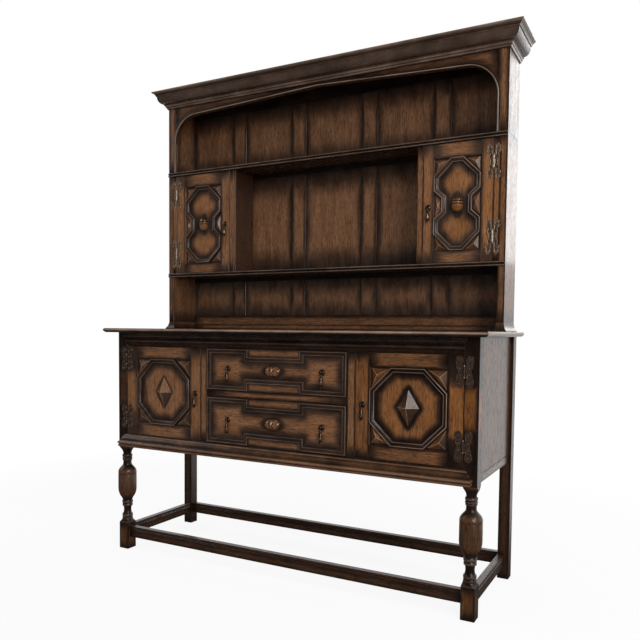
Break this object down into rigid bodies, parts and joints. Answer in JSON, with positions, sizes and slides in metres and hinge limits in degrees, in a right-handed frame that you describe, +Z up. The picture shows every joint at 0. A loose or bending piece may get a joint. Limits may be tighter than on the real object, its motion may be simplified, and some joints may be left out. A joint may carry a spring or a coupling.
{
  "type": "kitchen dresser",
  "caption": "Oak kitchen dresser with an open plate rack, small rack cupboards, and a base with panelled doors, drawers, turned legs and stretchers.",
  "frame": {"origin": "on the floor, under the middle of the overall width and depth", "axes": "+Z up, +X to the right as seen from the front, and the doors and drawers face -Y"},
  "size_m": [1.554, 0.509, 1.8965],
  "materials": {
    "oak": "stained oak, satin",
    "oak_dark": "dark stained oak, satin",
    "oak_panel": "stained oak, burnished brown in the middle of each field",
    "bronze": "dark antique bronze"
  },
  "bodies": {
    "case": {"top_board": "oak", "base_side_left": "oak", "base_side_right": "oak", "base_bottom": "oak", "partition_left": "oak", "partition_right": "oak", "drawer_divider": "oak", "rack_frieze": "oak", "rack_side_left": "oak", "rack_side_right": "oak", "cupboard_partition_left": "oak", "cupboard_partition_right": "oak", "front_leg_left": "oak_dark", "front_leg_right": "oak_dark", "rear_leg_left": "oak_dark", "rear_leg_right": "oak_dark", "stretcher_front": "oak_dark", "stretcher_rear": "oak_dark", "stretcher_left": "oak_dark", "stretcher_right": "oak_dark", "base_back": "oak_dark", "top_rail": "oak_dark", "rack_cornice": "oak_dark", "shelf_lower": "oak_dark", "shelf_upper": "oak_dark", "rack_back": "oak_panel", "hinge_base_left_lower_case_leaf": "bronze", "hinge_base_left_upper_case_leaf": "bronze", "hinge_base_right_lower_case_leaf": "bronze", "hinge_base_right_upper_case_leaf": "bronze", "hinge_rack_left_lower_case_leaf": "bronze", "hinge_rack_left_upper_case_leaf": "bronze", "hinge_rack_right_lower_case_leaf": "bronze", "hinge_rack_right_upper_case_leaf": "bronze"},
    "base_door_left": {"base_door_left_frame": "oak", "base_door_left_panel": "oak_panel", "hinge_base_left_lower_door_leaf": "bronze", "hinge_base_left_upper_door_leaf": "bronze"},
    "base_door_right": {"base_door_right_frame": "oak", "base_door_right_panel": "oak_panel", "hinge_base_right_lower_door_leaf": "bronze", "hinge_base_right_upper_door_leaf": "bronze"},
    "rack_door_left": {"rack_door_left_frame": "oak", "rack_door_left_panel": "oak_panel", "hinge_rack_left_lower_door_leaf": "bronze", "hinge_rack_left_upper_door_leaf": "bronze"},
    "rack_door_right": {"rack_door_right_frame": "oak", "rack_door_right_panel": "oak_panel", "hinge_rack_right_lower_door_leaf": "bronze", "hinge_rack_right_upper_door_leaf": "bronze"},
    "drawer_lower": {"drawer_lower": "oak"},
    "drawer_upper": {"drawer_upper": "oak"},
    "base_door_left_pull": {"base_door_left_drop": "bronze"},
    "base_door_right_pull": {"base_door_right_drop": "bronze"},
    "rack_door_left_pull": {"rack_door_left_drop": "bronze"},
    "rack_door_right_pull": {"rack_door_right_drop": "bronze"},
    "drawer_lower_left_pull": {"drawer_lower_left_drop": "bronze"},
    "drawer_lower_right_pull": {"drawer_lower_right_drop": "bronze"},
    "drawer_upper_left_pull": {"drawer_upper_left_drop": "bronze"},
    "drawer_upper_right_pull": {"drawer_upper_right_drop": "bronze"}
  },
  "joints": [
    {"name": "base_door_left_hinge", "type": "hinge", "parent": "case", "child": "base_door_left", "pos_m": [-0.68025, -0.2095, 0.6434], "axis": [0, 0, -1], "range_deg": [0, 110]},
    {"name": "base_door_right_hinge", "type": "hinge", "parent": "case", "child": "base_door_right", "pos_m": [0.68025, -0.2095, 0.6434], "axis": [0, 0, 1], "range_deg": [0, 110]},
    {"name": "rack_door_left_hinge", "type": "hinge", "parent": "case", "child": "rack_door_left", "pos_m": [-0.68025, 0.0925, 1.3335], "axis": [0, 0, -1], "range_deg": [0, 110]},
    {"name": "rack_door_right_hinge", "type": "hinge", "parent": "case", "child": "rack_door_right", "pos_m": [0.68025, 0.0925, 1.3335], "axis": [0, 0, 1], "range_deg": [0, 110]},
    {"name": "drawer_lower_slide", "type": "slide", "parent": "case", "child": "drawer_lower", "axis": [0, -1, 0], "range_m": [0, 0.3]},
    {"name": "drawer_upper_slide", "type": "slide", "parent": "case", "child": "drawer_upper", "axis": [0, -1, 0], "range_m": [0, 0.3]},
    {"name": "base_door_left_pull_swing", "type": "hinge", "parent": "base_door_left", "child": "base_door_left_pull", "pos_m": [-0.3425, -0.2135, 0.645], "axis": [-1, 0, 0], "range_deg": [0, 75]},
    {"name": "base_door_right_pull_swing", "type": "hinge", "parent": "base_door_right", "child": "base_door_right_pull", "pos_m": [0.3425, -0.2135, 0.645], "axis": [-1, 0, 0], "range_deg": [0, 75]},
    {"name": "rack_door_left_pull_swing", "type": "hinge", "parent": "rack_door_left", "child": "rack_door_left_pull", "pos_m": [-0.4285, 0.0885, 1.322], "axis": [-1, 0, 0], "range_deg": [0, 75]},
    {"name": "rack_door_right_pull_swing", "type": "hinge", "parent": "rack_door_right", "child": "rack_door_right_pull", "pos_m": [0.4545, 0.0885, 1.322], "axis": [-1, 0, 0], "range_deg": [0, 75]},
    {"name": "drawer_lower_left_pull_swing", "type": "hinge", "parent": "drawer_lower", "child": "drawer_lower_left_pull", "pos_m": [-0.193, -0.2135, 0.55725], "axis": [-1, 0, 0], "range_deg": [0, 75]},
    {"name": "drawer_lower_right_pull_swing", "type": "hinge", "parent": "drawer_lower", "child": "drawer_lower_right_pull", "pos_m": [0.193, -0.2135, 0.55725], "axis": [-1, 0, 0], "range_deg": [0, 75]},
    {"name": "drawer_upper_left_pull_swing", "type": "hinge", "parent": "drawer_upper", "child": "drawer_upper_left_pull", "pos_m": [-0.193, -0.2135, 0.7441], "axis": [-1, 0, 0], "range_deg": [0, 75]},
    {"name": "drawer_upper_right_pull_swing", "type": "hinge", "parent": "drawer_upper", "child": "drawer_upper_right_pull", "pos_m": [0.193, -0.2135, 0.7441], "axis": [-1, 0, 0], "range_deg": [0, 75]}
  ]
}
